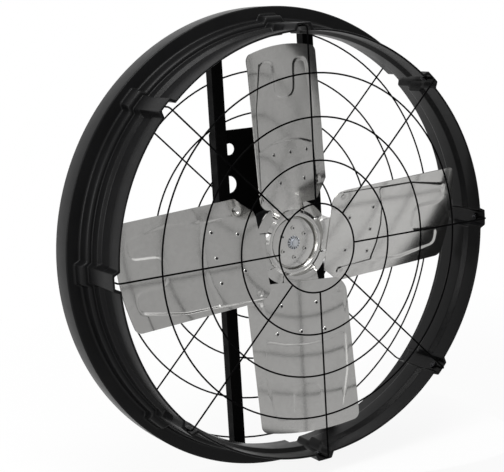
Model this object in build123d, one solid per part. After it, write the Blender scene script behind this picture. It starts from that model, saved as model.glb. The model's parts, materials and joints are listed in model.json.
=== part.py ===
from build123d import *
import os
from math import cos, radians, sin, sqrt, tan

# Axial wall fan, in millimetres. The fan's axis is Y, the front faces -Y and +Z is up.
# The origin is on the axis, in the plane of the wall. A "depth" is a distance in front of that plane.

# Housing ring: each step outwards or forwards is measured from the one before it
wall = 5.0
barrel_r = 502.0
collar_height = 14.0
flange_width = 34.0
groove_sink = 9.0
rim_step = 4.0
flange_depth = 56.0
collar_length = 30.0
lip_ahead = 8.0
barrel_length = 26.0
groove_length = 51.0
groove_slope = 6.0
rim_length = 46.0
outer_fillet = 6.0
inner_fillet = 2.0
sector_count = 8
rib_thickness = 3.0
ribs_per_sector = 3

# Pads on the barrel, where the guard's spokes run in the pockets behind them
pad_height = 14.0
pad_top_half = 18.0
pad_base_half = 26.0
pad_collar_step = 15.0

# Fixing bosses behind the flange, for the wall's studs
fixing_inset = 20.0
fixing_hole_r = 4.5
fixing_hole_depth = 40.0
fixing_boss_r = 10.0

# Posts and the saddles that hold their ends
post_width = 30.0
post_wall = 2.0
post_corner_r = 3.0
post_x = 127.6
post_back_depth = 2.0
post_end_gap = 2.0
saddle_skirt_gap = 3.0
saddle_height = 21.0
saddle_cheek = 4.0
saddle_gap = 0.3
saddle_cheek_back_depth = 12.0
post_bolt_inset = 10.0

# Motor plate
plate_thickness = 3.0
plate_top_z = 268.0
plate_bottom_z = -158.0
plate_corner_r = 8.0
upper_hole_x = 91.0
upper_hole_z = 222.5
upper_hole_r = 14.0
lower_hole_x = 96.5
lower_hole_z = 138.5
lower_hole_r = 20.5
plate_bolt_heights = (-100.0, 70.0, 256.0)

# Fasteners
m8_r = 4.0
m8_head_r = 7.5
m8_head_height = 5.3
m8_washer_r = 8.0
m8_washer_thickness = 1.6
m6_r = 3.0
m5_r = 2.5
hole_clearance = 0.5
insert_r = 6.0
insert_length = 15.0
rivet_nut_r = 5.5
rivet_nut_length = 12.0
rivet_nut_lip = 1.0

# Wire guards
wire_r = 2.0
weld_bite = 0.4
seat_gap = 0.1
front_guard_stand = 9.0
front_ring_r = 103.2
front_ring_pitch = 98.6
front_ring_count = 4
front_eye_inset = 31.0
rear_guard_gap = 2.5
rear_ring_r = 104.7
rear_ring_pitch = 98.9
rear_ring_count = 5
rear_eye_depth = 15.0
rear_spoke_count = 4
rear_spoke_start = 45.0
eye_r = 6.5
spoke_bend_r = 8.0
guard_washer_r = 8.0
guard_washer_thickness = 1.2
guard_head_r = 5.5
guard_head_height = 3.2

# Fan wheel
blade_count = 4
blade_pitch = 17.1
blade_behind_rim = 77.0
blade_offset = 15.0
blade_thickness = 2.0
tip_gap = 24.0
blade_front_edge = 122.0
blade_rear_edge = 122.0
blade_skew = 0.058
blade_skew_from = 447.0
blade_root = 92.0
tip_corner_r = 14.0
root_corner_r = 26.0
panel_depth = 3.0
rivet_r = 3.0
rivet_head_r = 5.5
rivet_head_height = 2.4
outer_rivet_row = 215.0
inner_rivet_row = 148.0
outer_rivets = (46.5, -12.0, -71.0)
inner_rivets = (28.0, -58.0)

# Spider behind the blades
spider_thickness = 4.0
hub_face_depth = 119.0
dish_r = 58.0
groove_depth = 5.0
groove_width = 2.4
crest_depth = 127.0
crest_in_r = 62.5
crest_out_r = 72.0
crest_fillet = 2.5
spider_fold_r = 80.0
spider_fold_depth = 121.0
spider_rim_r = 102.0
spider_rim_depth = 110.0
arm_neck_r = 76.0
arm_start_r = 91.0
arm_end_margin = 15.0
arm_root_mid = -7.0
arm_root_half = 41.0
arm_margin = 14.0
arm_set_back = 0.5
slit_start_r = 67.0
slit_width = 4.0

# Hub casting and the shaft end
hub_flange_r = 50.0
hub_flange_thickness = 11.0
hub_barrel_r = 28.0
hub_length = 53.0
hub_screw_circle_r = 35.0
hub_screw_count = 6
hub_screw_head_r = 5.0
hub_screw_head_height = 3.2
hub_screw_length = 12.0
key_width = 8.0
key_height = 7.0
key_sink = 4.0
key_length = 34.0
set_screw_from_back = 12.0
end_washer_r = 16.0
end_washer_thickness = 3.0
end_washer_teeth = 12
end_bolt_head_r = 8.5
end_bolt_head_height = 6.0
end_bolt_r = 5.0
end_bolt_length = 26.0

# Motor shaft and rotor
shaft_r = 12.0
bearing_seat_r = 12.5
rotor_seat_r = 15.0
rotor_r = 42.6
stator_bore_r = 43.0
core_front = 36.0
core_length = 70.0
rotor_bar_count = 24
rotor_bar_r = 2.5
rotor_bar_circle_r = 38.0
cage_ring_inner_r = 28.0
cage_ring_cover = 1.0
cage_ring_width = 6.0

# Motor bearings: outer radius, width, pitch radius and ball radius
front_bearing_r = 31.0
front_bearing_width = 17.0
front_pitch_r = 21.75
front_ball_r = 5.5
rear_bearing_r = 26.0
rear_bearing_width = 15.0
rear_pitch_r = 19.25
rear_ball_r = 4.0
ball_count = 9
ball_clearance = 0.05
front_bearing_depth = 46.0
rear_bearing_back = 141.0

# Motor casing, behind the plate
motor_flange_r = 100.0
motor_flange_thickness = 11.0
spigot_r = 65.0
spigot_clearance = 0.25
spigot_stand = 0.5
flange_bolt_circle_r = 82.5
flange_bolt_r = 5.0
flange_bolt_head_r = 9.2
flange_bolt_head_height = 6.4
flange_washer_r = 10.0
flange_washer_thickness = 2.0
nose_depth = 50.0
nose_front_r = 40.0
nose_back_r = 58.0
seal_r = 20.0
seal_clearance = 0.05
casing_r = 74.0
casing_wall = 4.0
register_length = 6.0
register_wall = 8.0
fin_height = 6.0
fin_thickness = 3.0
fin_count = 40
casing_length = 116.0
rear_shield_rim = 7.0
rear_cup_wall = 8.0
rear_end_wall = 4.0
wave_washer_space = 2.0
tie_bolt_circle_r = 77.5
tie_bolt_angles = (22.5, 112.5, 202.5, 337.5)
tie_bolt_angle_clear = 6.0
slot_count = 24
slot_width = 5.0
slot_bottom_r = 60.0
slot_top_r = 46.0
slot_mouth = 2.0
winding_gap = 0.3
end_turn_length = 14.0
end_turn_gap = 2.0

# Terminal box under the motor
box_width = 70.0
box_length = 76.0
box_height = 30.0
box_wall = 3.0
box_start = 34.0
box_seat = 84.0
box_corner_r = 6.0
gasket_thickness = 1.5
lid_thickness = 3.0
cable_hole_r = 9.0
seat_screw_x = 27.0
seat_screw_y = 20.0
seat_screw_length = 12.0
gland_body_r = 11.0
gland_length = 22.0
gland_bore_r = 5.0
gland_nut_height = 5.0

# Derived sizes
collar_r = barrel_r + collar_height
flange_r = collar_r + flange_width
groove_r = barrel_r - groove_sink
rim_r = barrel_r - rim_step
collar_depth = flange_depth + collar_length
lip_depth = flange_depth + lip_ahead
groove_rear_depth = collar_depth + barrel_length
groove_front_depth = groove_rear_depth + groove_length
housing_depth = groove_front_depth + rim_length
fixing_circle_r = flange_r - fixing_inset
front_guard_depth = housing_depth + front_guard_stand
front_eye_depth = housing_depth - front_eye_inset
rear_guard_back = rear_guard_gap + wire_r
blade_depth = housing_depth - blade_behind_rim
tip_r = groove_r - wall - tip_gap
post_half = post_width / 2
post_front_depth = post_back_depth + post_width
post_mid_depth = post_back_depth + post_half
plate_front = -post_back_depth
plate_back = plate_front + plate_thickness
flange_back_depth = flange_depth - wall
skirt_inner_r = flange_r - wall
pocket_r = rim_r + pad_height - wall
post_side = post_x + post_half
saddle_half = post_half + saddle_gap + saddle_cheek
post_half_length = sqrt((skirt_inner_r - post_end_gap) ** 2 - post_side**2)
saddle_high_z = sqrt((skirt_inner_r - saddle_skirt_gap) ** 2 - (post_x + saddle_half) ** 2)
saddle_low_z = saddle_high_z - saddle_height
post_bolt_z = saddle_high_z - post_bolt_inset
blade_tilt = radians(blade_pitch)
hub_front_depth = hub_face_depth - spider_thickness
hub_back_depth = hub_front_depth - hub_length
shaft_front_depth = hub_front_depth + spider_thickness / 2
core_back = core_front + core_length
motor_front = plate_back
casing_front = motor_front + motor_flange_thickness
casing_back = casing_front + casing_length
casing_bore_r = casing_r - casing_wall
fin_r = casing_r + fin_height
rear_bearing_end = rear_bearing_back + rear_bearing_width
motor_back = rear_bearing_end + wave_washer_space + rear_end_wall
front_bearing_back_depth = front_bearing_depth - front_bearing_width
box_end = box_start + box_length
box_mid = (box_start + box_end) / 2
box_bottom = box_seat + box_height
sector = 360.0 / sector_count

parts = {}


def turned(shape, degrees):
    """Turns a shape about the fan's axis, from +X towards +Z."""
    return Rot(0, -degrees, 0) * shape


def around(shape, count, start=0.0):
    """Copies a shape round the fan's axis."""
    return [turned(shape, start + 360.0 * k / count) for k in range(count)]


def polygon(points):
    return make_face(Polyline(*points, close=True))


def rounded(face, fillets):
    """Rounds the corners of a flat face; fillets are (point, radius)."""
    for point, radius in fillets:
        corner = min(face.vertices(), key=lambda v: (Vector(*point) - v.center()).length)
        face = fillet(corner, radius)
    return face


def lathe(points, fillets=()):
    """Revolves a section of (radius, y) points about the fan's axis."""
    return revolve(rounded(polygon(points), fillets), axis=Axis.Y)


def prism(face, front, back):
    """Extrudes a face drawn in (X, -Z) from y = front to y = back."""
    seat = Plane(origin=(0, front, 0), x_dir=(1, 0, 0), z_dir=(0, 1, 0))
    return seat.location * extrude(face, amount=back - front)


def rod(radius, front, back, x=0.0, z=0.0):
    """A cylinder along Y."""
    return Pos(x, (front + back) / 2, z) * Rot(90, 0, 0) * Cylinder(radius, back - front)


def tube(outer, inner, front, back, x=0.0, z=0.0):
    return rod(outer, front, back, x, z) - rod(inner, front - 1, back + 1, x, z)


def seated(shape, point, direction):
    """Stands a shape made along +Z on a point, facing a direction."""
    return Plane(origin=point, z_dir=direction).location * shape


def upright(radius, low, high):
    return Pos(0, 0, (low + high) / 2) * Cylinder(radius, high - low)


def hex_bolt(shank_r, shank_length, head_r, head_height):
    """The head stands above z = 0 and the shank hangs below."""
    head = extrude(RegularPolygon(head_r, 6), amount=head_height)
    return head + upright(shank_r, -shank_length, 0)


def socket_screw(shank_r, shank_length, head_r, head_height, socket_r):
    head = upright(head_r, 0, head_height) - Pos(0, 0, head_height / 2) * extrude(
        RegularPolygon(socket_r, 6), amount=head_height
    )
    return head + upright(shank_r, -shank_length, 0)


def domed_screw(shank_r, shank_length, head_r, head_height):
    """A low domed head, cut from a ball."""
    ball_r = (head_r**2 + head_height**2) / (2 * head_height)
    cap = Pos(0, 0, head_height - ball_r) * Sphere(ball_r) & upright(head_r + 1, 0, head_height + 1)
    return cap + upright(shank_r, -shank_length, 0)


def washer(outer, inner, thickness):
    return upright(outer, 0, thickness) - upright(inner, -1, thickness + 1)


def hex_nut(head_r, bore_r, height):
    return extrude(RegularPolygon(head_r, 6), amount=height) - upright(bore_r, -1, height + 1)


def torus_about_axis(radius, wire, y):
    return Pos(0, y, 0) * Rot(90, 0, 0) * Torus(radius, wire)


def one(shape):
    """The single solid of a result."""
    return shape.solids()[0] if len(shape.solids()) == 1 else shape


def group(name, shapes):
    parts[name] = Compound([one(s) for s in shapes])


# Housing ring


def trapezoid(inner_x, inner_half, outer_x, outer_half):
    return polygon(
        [(inner_x, -inner_half), (inner_x, inner_half), (outer_x, outer_half), (outer_x, -outer_half)]
    )


def pad_half_at(x, inset):
    """Half width of a pad at a distance from the axis, moved in by a wall."""
    slope = (pad_base_half - pad_top_half) / pad_height
    return pad_base_half - inset - slope * (x - rim_r)


def pad_face(inner_x, outer_x, inset, step=0.0):
    return trapezoid(
        inner_x, pad_half_at(inner_x, inset) + step, outer_x, pad_half_at(outer_x, inset) + step
    )


def ring_section():
    bottom_front = -(groove_front_depth - groove_slope)
    bottom_rear = -(groove_rear_depth + groove_slope)
    collar_inside = -(collar_depth - wall)
    return [
        (flange_r, 0),
        (flange_r, -flange_depth),
        (collar_r, -flange_depth),
        (collar_r, -collar_depth),
        (barrel_r, -collar_depth),
        (barrel_r, -groove_rear_depth),
        (groove_r, bottom_rear),
        (groove_r, bottom_front),
        (rim_r, -groove_front_depth),
        (rim_r, -housing_depth),
        (rim_r - wall, -housing_depth),
        (rim_r - wall, -groove_front_depth),
        (groove_r - wall, bottom_front),
        (groove_r - wall, bottom_rear),
        (barrel_r - wall, -groove_rear_depth),
        (barrel_r - wall, -lip_depth),
        (barrel_r, -lip_depth),
        (barrel_r, collar_inside),
        (collar_r - wall, collar_inside),
        (collar_r - wall, -flange_back_depth),
        (skirt_inner_r, -flange_back_depth),
        (skirt_inner_r, 0),
    ]


def post_saddle():
    """Block and two cheeks on the flange's back that hold the end of a post."""
    half = saddle_half
    mid_z = (saddle_low_z + saddle_high_z) / 2
    height = saddle_height
    block_depth = flange_back_depth + wall / 2
    block = Pos(0, -(block_depth + post_front_depth) / 2, mid_z) * Box(
        2 * half, block_depth - post_front_depth, height
    )
    cheek_y = -(block_depth + saddle_cheek_back_depth) / 2
    cheek = Box(saddle_cheek, block_depth - saddle_cheek_back_depth, height)
    side = half - saddle_cheek / 2
    body = block + Pos(-side, cheek_y, mid_z) * cheek + Pos(side, cheek_y, mid_z) * cheek
    return body - rod(insert_r, -(post_front_depth + insert_length), -post_front_depth + 1, 0, post_bolt_z)


def housing_ring():
    ring = lathe(
        ring_section(),
        [
            ((flange_r, -flange_depth), outer_fillet),
            ((collar_r, -flange_depth), outer_fillet),
            ((collar_r, -collar_depth), outer_fillet),
            ((barrel_r, -collar_depth), inner_fillet),
            ((skirt_inner_r, -flange_back_depth), inner_fillet),
            ((rim_r, -housing_depth), wall * 0.35),
            ((barrel_r - wall, -lip_depth), wall * 0.45),
        ],
    )
    bulge_x = rim_r + pad_height + pad_collar_step
    bulge = prism(
        pad_face(barrel_r - wall / 2, bulge_x, 0, pad_collar_step), -collar_depth, -(flange_depth - wall / 2)
    )
    hollow = prism(
        pad_face(barrel_r + 0.5, bulge_x - wall, wall, pad_collar_step), -(collar_depth - wall), 0
    )
    pad = prism(pad_face(groove_r - wall, rim_r + pad_height, 0), -housing_depth, -lip_depth)
    pocket = prism(pad_face(groove_r - 4 * wall, pocket_r, wall), -housing_depth - 1, 0)
    rib_mid = (barrel_r + collar_r - wall) / 2
    rib = Pos(rib_mid, -(collar_depth - wall + lip_depth) / 2, 0) * Box(
        collar_r - wall - barrel_r + 1, collar_depth - wall - lip_depth + 1, rib_thickness
    )
    ribs = []
    for k in range(1, ribs_per_sector + 1):
        ribs += around(rib, sector_count, sector * k / (ribs_per_sector + 1))
    ring = ring + around(bulge, sector_count)
    ring = ring - around(hollow, sector_count)
    ring = ring + around(pad, sector_count) + ribs
    ring = ring - around(pocket, sector_count)

    fixing = rod(fixing_boss_r, -flange_back_depth - wall / 2, 0, fixing_circle_r)
    fixing_hole = rod(fixing_hole_r, -fixing_hole_depth, 1, fixing_circle_r)
    ring = ring + around(fixing, sector_count, sector / 2) - around(fixing_hole, sector_count, sector / 2)

    for x in (-post_x, post_x):
        for flip in (0, 180):
            ring = ring + turned(Pos(-x if flip else x, 0, 0) * post_saddle(), flip)

    front_screw = seated(upright(m5_r, -wall - 2, 2), (pocket_r, -front_eye_depth, 0), (-1, 0, 0))
    rear_screw = seated(upright(m5_r, -wall + 1, 2), (skirt_inner_r, -rear_eye_depth, 0), (-1, 0, 0))
    ring = ring - around(front_screw, sector_count)
    return ring - around(rear_screw, rear_spoke_count, rear_spoke_start)


parts["housing_ring"] = housing_ring()


# Posts


def post(x):
    section = RectangleRounded(post_width, post_width, post_corner_r) - RectangleRounded(
        post_width - 2 * post_wall, post_width - 2 * post_wall, post_corner_r - post_wall
    )
    body = Pos(x, -post_mid_depth, -post_half_length) * extrude(section, amount=2 * post_half_length)
    for z in (-post_bolt_z, post_bolt_z):
        body -= rod(m8_r + hole_clearance, -post_front_depth - 1, 0, x, z)
    for z in plate_bolt_heights:
        body -= rod(rivet_nut_r, -post_mid_depth, 0, x, z)
    return body


parts["left_post"] = post(-post_x)
parts["right_post"] = post(post_x)

back = (0, 1, 0)
front = (0, -1, 0)
post_ends = [(x, z) for x in (-post_x, post_x) for z in (-post_bolt_z, post_bolt_z)]
post_bolt = hex_bolt(
    m8_r, m8_washer_thickness + post_width + insert_length - 2, m8_head_r, m8_head_height
)
post_bolt_seat = -post_back_depth + m8_washer_thickness
m8_washer = washer(m8_washer_r, m8_r, m8_washer_thickness)
insert = washer(insert_r, m8_r, insert_length)
group("post_bolts", [seated(post_bolt, (x, post_bolt_seat, z), back) for x, z in post_ends])
group("post_washers", [seated(m8_washer, (x, -post_back_depth, z), back) for x, z in post_ends])
group("boss_inserts", [seated(insert, (x, -post_front_depth, z), front) for x, z in post_ends])


# Motor plate


def motor_plate():
    height = plate_top_z - plate_bottom_z
    outline = RectangleRounded(2 * post_side, height, plate_corner_r)
    body = prism(outline, plate_front, plate_back)
    body = Pos(0, 0, (plate_top_z + plate_bottom_z) / 2) * body
    body -= rod(spigot_r + spigot_clearance, plate_front - 1, plate_back + 1)
    body -= around(
        rod(flange_bolt_r + hole_clearance, plate_front - 1, plate_back + 1, flange_bolt_circle_r), 4, 45
    )
    for side in (-1, 1):
        holes = [
            (upper_hole_x, upper_hole_z, upper_hole_r),
            (lower_hole_x, lower_hole_z, lower_hole_r),
        ]
        holes += [(post_x, z, m8_r + hole_clearance) for z in plate_bolt_heights]
        for x, z, radius in holes:
            body -= rod(radius, plate_front - 1, plate_back + 1, side * x, z)
    return body


parts["motor_plate"] = motor_plate()

plate_bolt_places = [(x, z) for x in (-post_x, post_x) for z in plate_bolt_heights]
plate_bolt = hex_bolt(
    m8_r, m8_washer_thickness + plate_thickness + rivet_nut_length - 1, m8_head_r, m8_head_height
)
rivet_nut = washer(rivet_nut_r, m8_r, rivet_nut_length)
plate_bolt_seat = plate_back + m8_washer_thickness
group("plate_bolts", [seated(plate_bolt, (x, plate_bolt_seat, z), back) for x, z in plate_bolt_places])
group("plate_washers", [seated(m8_washer, (x, plate_back, z), back) for x, z in plate_bolt_places])
group("plate_rivet_nuts", [seated(rivet_nut, (x, plate_front, z), front) for x, z in plate_bolt_places])


# Wire guards


def spoke(start_r, run_y, end_r, eye_y):
    """A wire that runs outwards, bends along the axis and ends in an eye."""
    ahead = 1 if eye_y > run_y else -1
    path = FilletPolyline(
        (start_r, run_y), (end_r, run_y), (end_r, eye_y - ahead * eye_r), radius=spoke_bend_r
    )
    start = Plane(origin=(start_r, run_y, 0), z_dir=(1, 0, 0))
    wire = sweep(start.location * Circle(wire_r), path=path)
    return wire + Pos(end_r, eye_y, 0) * Rot(0, 90, 0) * Torus(eye_r, wire_r)


def guard_screw_set(name, wall_r, depth, wall_length, count, start=0.0):
    """Screws and washers that hold the eyes against the inside of a wall."""
    washer_r = wall_r - 2 * wire_r - seat_gap
    head_r = washer_r - guard_washer_thickness
    screw = domed_screw(m5_r, wall_r - head_r + wall_length, guard_head_r, guard_head_height)
    disc = washer(guard_washer_r, m5_r, guard_washer_thickness)
    inward = (-1, 0, 0)
    screws = around(seated(screw, (head_r, -depth, 0), inward), count, start)
    discs = around(seated(disc, (washer_r, -depth, 0), inward), count, start)
    group(name + "_guard_screws", screws)
    group(name + "_guard_washers", discs)


front_rings = [front_ring_r + front_ring_pitch * k for k in range(front_ring_count)]
rear_rings = [rear_ring_r + rear_ring_pitch * k for k in range(rear_ring_count)]
wire_step = 2 * wire_r - weld_bite
front_eye_r = pocket_r - wire_r
rear_eye_r = skirt_inner_r - wire_r - seat_gap
front_spoke = spoke(front_ring_r, -(front_guard_depth + wire_step), front_eye_r, -front_eye_depth)
rear_spoke = spoke(rear_ring_r, rear_guard_back + wire_step, rear_eye_r, -rear_eye_depth)
group("front_guard_rings", [torus_about_axis(r, wire_r, -front_guard_depth) for r in front_rings])
group("front_guard_spokes", around(front_spoke, sector_count))
group("rear_guard_rings", [torus_about_axis(r, wire_r, rear_guard_back) for r in rear_rings])
group("rear_guard_spokes", around(rear_spoke, rear_spoke_count, rear_spoke_start))
guard_screw_set("front", pocket_r, front_eye_depth, wall - 1, sector_count)
guard_screw_set("rear", skirt_inner_r, rear_eye_depth, wall - 1, rear_spoke_count, rear_spoke_start)


# Blades, drawn in their own plane: u runs along the chord to the front edge, v runs outwards

blade_seat = Plane(
    origin=(0, -blade_depth, blade_offset),
    x_dir=(0, -sin(blade_tilt), cos(blade_tilt)),
    z_dir=(0, cos(blade_tilt), sin(blade_tilt)),
)
half_thickness = blade_thickness / 2


def tip_at(u):
    """Where the circle of the blade tips crosses the blade's plane."""
    across = blade_offset + u * cos(blade_tilt)
    return sqrt(tip_r**2 - across**2)


def front_edge_at(v):
    return blade_front_edge - blade_skew * (blade_skew_from - v)


def rear_edge_at(v):
    return -blade_rear_edge - blade_skew * (blade_skew_from - v)


def blade_outline():
    front_tip = (blade_front_edge, tip_at(blade_front_edge))
    rear_tip = (-blade_rear_edge, tip_at(-blade_rear_edge))
    front_root_v = blade_root + root_corner_r
    rear_root_v = blade_root + 1.7 * root_corner_r
    front_root = (front_edge_at(front_root_v), front_root_v)
    rear_root = (rear_edge_at(rear_root_v), rear_root_v)
    root_front = (front_edge_at(blade_root) - root_corner_r, blade_root)
    root_rear = (rear_edge_at(blade_root) + 1.4 * root_corner_r, blade_root)
    edge = [
        ThreePointArc(front_tip, (0, tip_at(0)), rear_tip),
        Line(rear_tip, rear_root),
        Line(rear_root, root_rear),
        Line(root_rear, root_front),
        Line(root_front, front_root),
        Line(front_root, front_tip),
    ]
    corners = [(front_tip, tip_corner_r), (rear_tip, tip_corner_r)]
    corners += [(root_front, 0.8 * root_corner_r), (front_root, 0.8 * root_corner_r)]
    corners += [(rear_root, 0.5 * root_corner_r), (root_rear, 0.5 * root_corner_r)]
    return rounded(make_face(edge), corners)


# Recessed panel: an arc about the fan's axis inside, two lobes with a notch between them outside
panel_mid = -4.0
panel_foot_half = 97.0
panel_foot_v = 226.0
panel_foot_rise = 18.0
shoulder_half = 103.0
shoulder_v = 320.0
lobe_outer_half = 83.0
lobe_inner_half = 34.0
lobe_top_v = 430.0
notch_half = 31.0
notch_bottom_v = 347.0
foot_fillet = 14.0
shoulder_fillet = 40.0
lobe_fillet = 23.0
notch_fillet = 26.0


def panel_outline():
    right_side = [
        (panel_foot_half, panel_foot_v, foot_fillet),
        (shoulder_half, shoulder_v, shoulder_fillet),
        (lobe_outer_half, lobe_top_v, lobe_fillet),
        (lobe_inner_half, lobe_top_v, lobe_fillet),
        (notch_half, notch_bottom_v, notch_fillet),
    ]
    corners = [(panel_mid + u, v, r) for u, v, r in right_side]
    corners += [(panel_mid - u, v, r) for u, v, r in reversed(right_side)]
    points = [(u, v) for u, v, r in corners]
    foot = (panel_mid, panel_foot_v + panel_foot_rise)
    edges = [Line(points[k], points[k + 1]) for k in range(len(points) - 1)]
    edges.append(ThreePointArc(points[-1], foot, points[0]))
    return rounded(make_face(edges), [((u, v), r) for u, v, r in corners])


def pressed(outline, start):
    """The panel as a block with flanks at 45 degrees, sunk towards the back."""
    return Pos(0, 0, start) * extrude(outline, amount=panel_depth, dir=(0, 0, 1), taper=45)


rivet_points = [(u, outer_rivet_row) for u in outer_rivets] + [(u, inner_rivet_row) for u in inner_rivets]


def blade():
    outline = panel_outline()
    sheet = Pos(0, 0, -half_thickness) * extrude(blade_outline(), amount=blade_thickness)
    outset = blade_thickness * (sqrt(2) - 1)
    body = sheet + pressed(offset(outline, outset), half_thickness)
    body -= pressed(outline, -half_thickness)
    for u, v in rivet_points:
        body -= Pos(u, v, 0) * upright(rivet_r, -blade_thickness, blade_thickness)
    return blade_seat.location * body


one_blade = blade()
for number in range(blade_count):
    parts[f"blade_{number + 1}"] = turned(one_blade, 360.0 * number / blade_count)


# Hub spider


def arm_root_z():
    """How high the middle of the arm's root lies beside the axis."""
    return blade_offset + arm_root_mid * cos(blade_tilt)


def arm():
    back_face = half_thickness + spider_thickness
    low = min(outer_rivets) - arm_margin
    high = max(outer_rivets) + arm_margin
    outline = polygon(
        [
            (arm_root_mid - arm_root_half, arm_start_r),
            (arm_root_mid + arm_root_half, arm_start_r),
            (high, outer_rivet_row),
            (high - arm_margin, outer_rivet_row + arm_end_margin),
            (low + arm_margin, outer_rivet_row + arm_end_margin),
            (low, outer_rivet_row),
        ]
    )
    blank = Pos(0, 0, half_thickness) * extrude(outline, amount=spider_thickness)
    for u, v in rivet_points:
        blank -= Pos(u, v, 0) * upright(rivet_r, 0, 2 * back_face)
    blank = blade_seat.location * blank
    mid = blade_seat.location.position
    along = Vector(0, -sin(blade_tilt), cos(blade_tilt))
    through = Vector(0, cos(blade_tilt), sin(blade_tilt))
    centre = mid + along * arm_root_mid + through * (half_thickness + spider_thickness / 2)
    flat_mid = spider_fold_depth - spider_thickness / 2 - arm_set_back
    flat = Plane(origin=(arm_neck_r, -flat_mid, arm_root_z()), x_dir=(0, 0, 1), z_dir=(1, 0, 0))
    flat_section = flat.location * Rectangle(2 * arm_root_half * cos(blade_tilt), spider_thickness)
    pitched = Plane(
        origin=(arm_start_r, centre.Y, centre.Z), x_dir=tuple(along), z_dir=(1, 0, 0)
    )
    pitched_section = pitched.location * Rectangle(2 * arm_root_half, spider_thickness)
    neck = loft([flat_section, pitched_section], ruled=True)
    return blank + neck


def arm_slit():
    """The cut beside the arm's rear side that lets the arm bend out of the web."""
    side_z = arm_root_z() - arm_root_half * cos(blade_tilt)
    length = spider_rim_r - slit_start_r
    return Pos(slit_start_r + length / 2, -spider_rim_depth, side_z - slit_width / 2) * Box(
        length, 2 * (crest_depth - spider_rim_depth), slit_width
    )


def hub_spider():
    t = spider_thickness
    groove_floor = hub_face_depth - groove_depth
    crest_in = (crest_in_r, -crest_depth)
    crest_out = (crest_out_r, -crest_depth)
    disc = lathe(
        [
            (end_bolt_r + 1, -hub_face_depth),
            (dish_r, -hub_face_depth),
            (dish_r, -groove_floor),
            (dish_r + groove_width, -groove_floor),
            crest_in,
            crest_out,
            (spider_fold_r, -spider_fold_depth),
            (spider_rim_r, -spider_rim_depth),
            (spider_rim_r, -spider_rim_depth + t),
            (spider_fold_r, -spider_fold_depth + t),
            (crest_out_r, -crest_depth + t),
            (crest_in_r + t, -crest_depth + t),
            (dish_r + groove_width + t, -groove_floor + t),
            (dish_r - t, -groove_floor + t),
            (dish_r - t, -hub_front_depth),
            (end_bolt_r + 1, -hub_front_depth),
        ],
        [(crest_in, crest_fillet), (crest_out, crest_fillet)],
    )
    disc -= around(arm_slit(), blade_count)
    body = disc + around(arm(), blade_count)
    hole = rod(m6_r, -hub_face_depth - 1, -hub_front_depth + 1, hub_screw_circle_r)
    return body - around(hole, hub_screw_count, 30)


parts["hub_spider"] = hub_spider()

# Rivets, one group for all the blades
rivet_grip = blade_thickness + spider_thickness
rivet_front = domed_screw(rivet_r, rivet_grip, rivet_head_r, rivet_head_height)
rivet_tail = Pos(0, 0, -rivet_grip) * Rot(180, 0, 0) * domed_screw(
    rivet_r, rivet_head_height / 2, rivet_head_r, rivet_head_height
)
rivet = Rot(180, 0, 0) * (rivet_front + rivet_tail)
rivets_of_one = [blade_seat.location * Pos(u, v, -half_thickness) * rivet for u, v in rivet_points]
all_rivets = []
for number in range(blade_count):
    all_rivets += [turned(r, 360.0 * number / blade_count) for r in rivets_of_one]
group("blade_rivets", all_rivets)


# Hub casting, its screws, key and set screw


def hub_casting():
    flange_back = -hub_front_depth + hub_flange_thickness
    body = rod(hub_flange_r, -hub_front_depth, flange_back) + rod(
        hub_barrel_r, -hub_front_depth, -hub_back_depth
    )
    body -= rod(shaft_r, -hub_front_depth - 1, -hub_back_depth + 1)
    body -= around(
        rod(m6_r, -hub_front_depth - 1, flange_back + 1, hub_screw_circle_r), hub_screw_count, 30
    )
    key_top = shaft_r - key_sink + key_height
    body -= Pos(0, -(hub_front_depth + hub_back_depth) / 2, key_top / 2) * Box(
        key_width, hub_length + 2, key_top
    )
    return body - set_screw_hole(m8_r)


def set_screw_hole(radius):
    y = -hub_back_depth - set_screw_from_back
    return Pos(0, y, (shaft_r + hub_barrel_r) / 2 + 1) * Cylinder(radius, hub_barrel_r - shaft_r + 2)


parts["hub_casting"] = hub_casting()

hub_screw = socket_screw(
    m6_r, hub_screw_length, hub_screw_head_r, hub_screw_head_height, hub_screw_head_r / 2
)
hub_screw_seat = (hub_screw_circle_r, -hub_face_depth, 0)
group("hub_screws", around(seated(hub_screw, hub_screw_seat, front), hub_screw_count, 30))

key_base = shaft_r - key_sink
key_front = -hub_front_depth + (hub_length - key_length)
parts["shaft_key"] = Pos(0, key_front + key_length / 2, key_base + key_height / 2) * Box(
    key_width, key_length, key_height
)
set_screw_y = -hub_back_depth - set_screw_from_back
set_screw_base = key_base + key_height
set_screw = upright(m8_r, set_screw_base, hub_barrel_r) - upright(m8_r / 2, hub_barrel_r - 5, hub_barrel_r + 1)
parts["hub_set_screw"] = Pos(0, set_screw_y, 0) * set_screw


def end_washer():
    disc = upright(end_washer_r - 2, 0, end_washer_thickness) - upright(end_bolt_r, -1, end_washer_thickness + 1)
    tooth = Pos(end_washer_r - 2, 0, end_washer_thickness / 2) * Box(4, 4, end_washer_thickness)
    return disc + [Rot(0, 0, 360.0 * k / end_washer_teeth) * tooth for k in range(end_washer_teeth)]


end_bolt_seat = -hub_face_depth - end_washer_thickness
end_bolt = hex_bolt(end_bolt_r, end_bolt_length, end_bolt_head_r, end_bolt_head_height)
parts["shaft_end_washer"] = seated(end_washer(), (0, -hub_face_depth, 0), front)
parts["shaft_end_bolt"] = seated(end_bolt, (0, end_bolt_seat, 0), front)


# Motor shaft and rotor


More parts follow.
